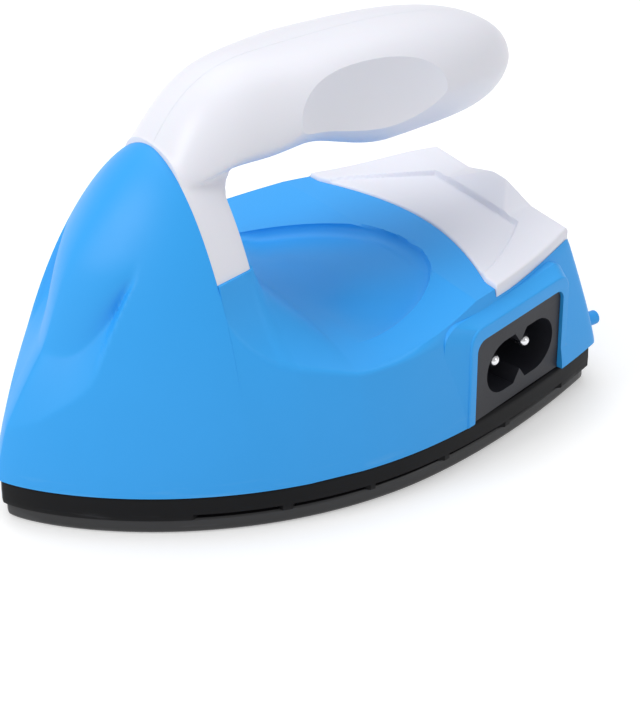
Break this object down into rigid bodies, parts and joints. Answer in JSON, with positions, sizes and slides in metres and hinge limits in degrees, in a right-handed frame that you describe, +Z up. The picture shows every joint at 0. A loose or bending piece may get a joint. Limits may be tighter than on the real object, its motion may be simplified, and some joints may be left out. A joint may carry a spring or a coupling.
{
  "type": "mini heat press",
  "caption": "Palm-sized blue and white heat press with a pointed flat heated sole, a cantilever handle over a finger saddle, a white rear cover and a two-pin inlet in its side.",
  "frame": {"origin": "middle of the sole's length on its centre line, at the underside of the sole plate", "axes": "+X towards the tail with the stand pegs, the pointed nose towards -X, the inlet on the -Y side, +Z up from the sole to the handle"},
  "size_m": [0.1133, 0.0664, 0.0722],
  "materials": {
    "blue_shell": "satin moulded plastic",
    "white_plastic": "semi-gloss moulded plastic",
    "black_skirt": "fine-grained heat-resistant plastic",
    "sole_coat": "black non-stick coating over aluminium",
    "inlet_plastic": "fine-grained moulded plastic",
    "pin_metal": "bright plated pin",
    "tab_brass": "tinned brass",
    "sheet_steel": "plain steel sheet",
    "screw_steel": "zinc-plated steel",
    "foil": "aluminium sheet",
    "film": "amber heat-resistant film",
    "ceramic": "fired ceramic",
    "fuse_case": "plated fuse case",
    "sleeve": "woven glass sleeve",
    "lead_red": "silicone insulation",
    "lead_blue": "silicone insulation"
  },
  "bodies": {
    "root": {"sole_plate": "sole_coat", "base_skirt": "black_skirt", "body_shell": "blue_shell", "handle_near_half": "white_plastic", "handle_far_half": "white_plastic", "rear_cover": "white_plastic", "inlet_housing": "inlet_plastic", "inlet_pin_front": "pin_metal", "inlet_pin_rear": "pin_metal", "inlet_tabs": "tab_brass", "lower_insulator": "film", "lower_electrode": "foil", "heater_tiles": "ceramic", "upper_electrode": "foil", "upper_insulator": "film", "heater_clamp": "sheet_steel", "clamp_screws": "screw_steel", "thermostat": "sheet_steel", "thermostat_strap": "sheet_steel", "strap_screws": "screw_steel", "thermal_fuse": "fuse_case", "fuse_sleeve": "sleeve", "live_lead": "lead_red", "fuse_lead": "lead_red", "neutral_lead": "lead_blue", "link_lead": "lead_blue", "heat_shield": "sheet_steel", "shield_screws": "screw_steel", "plate_screws": "screw_steel", "shell_screws": "screw_steel", "handle_screws": "screw_steel", "handle_pins": "screw_steel"}
  },
  "joints": []
}
